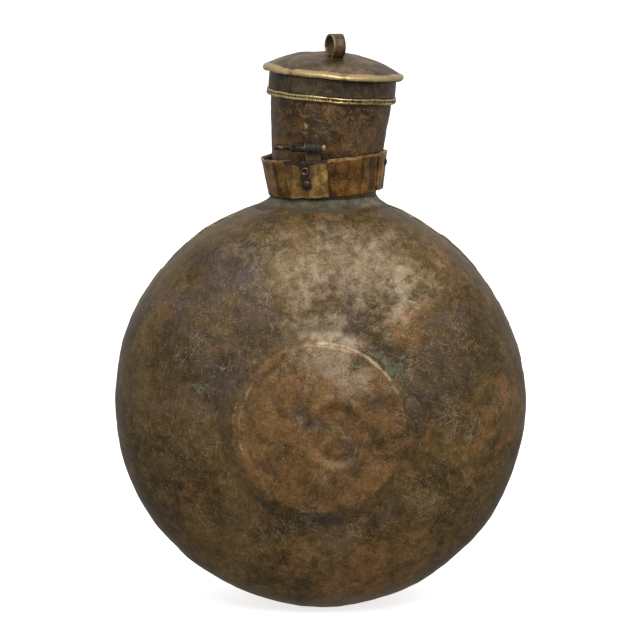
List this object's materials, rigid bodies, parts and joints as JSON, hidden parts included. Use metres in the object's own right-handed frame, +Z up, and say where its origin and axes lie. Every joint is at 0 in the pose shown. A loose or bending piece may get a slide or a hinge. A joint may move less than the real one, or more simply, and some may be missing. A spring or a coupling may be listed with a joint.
{
  "type": "copper water bottle",
  "caption": "Round flat-sided copper water bottle with a raised boss, leaning neck, brass stop ring, slip-on domed lid with a strip loop and a loose collar with a hinge",
  "frame": {"origin": "under the middle of the round body, at the lowest line of its rim", "axes": "+Z up, -Y towards the front with the hinge plate, +X to the right as seen from the front"},
  "size_m": [0.33, 0.2046, 0.4616],
  "materials": {
    "aged_copper": "hammered copper, dark brown patina",
    "neck_copper": "copper sheet, dark brown patina",
    "braze": "brazing brass, tarnished",
    "solder": "grey-green soft solder",
    "worn_brass": "brass, worn bright",
    "lid_brass": "brass, brown patina with a worn rim",
    "dark_brass": "brass, dark grey-brown patina",
    "collar_brass": "brass strip, golden where worn",
    "rivet_copper": "copper rivets and pin, worn on top",
    "dark_iron": "dark grey iron strip"
  },
  "bodies": {
    "bottle": {"front_shell": "aged_copper", "back_shell": "aged_copper", "rim_braze": "braze", "neck_tube": "neck_copper", "neck_seam": "braze", "neck_solder": "solder", "stop_ring": "worn_brass"},
    "lid": {"lid_dome": "lid_brass", "lid_rim_wire": "worn_brass", "lid_skirt": "dark_brass", "lid_solder": "solder", "lid_loop": "dark_brass"},
    "collar": {"collar_band": "collar_brass", "collar_rivet": "rivet_copper", "hinge_plate": "collar_brass", "hinge_rivets": "rivet_copper", "hinge_pin": "rivet_copper"},
    "hasp_stub": {"hasp_knuckle": "dark_iron"}
  },
  "joints": [
    {"name": "lid_lift", "type": "slide", "parent": "bottle", "child": "lid", "axis": [0.0785, 0, 0.9969], "range_m": [0, 0.12]},
    {"name": "collar_turn", "type": "hinge", "parent": "bottle", "child": "collar", "pos_m": [0.0044, 0, 0.3346], "axis": [-0.061, 0, 0.9981], "range_deg": [-60, 45]},
    {"name": "hasp_swing", "type": "hinge", "parent": "collar", "child": "hasp_stub", "pos_m": [-0.01691, -0.05079, 0.37444], "axis": [0.9782, -0.2076, 0.0074], "range_deg": [-185, 35]}
  ]
}
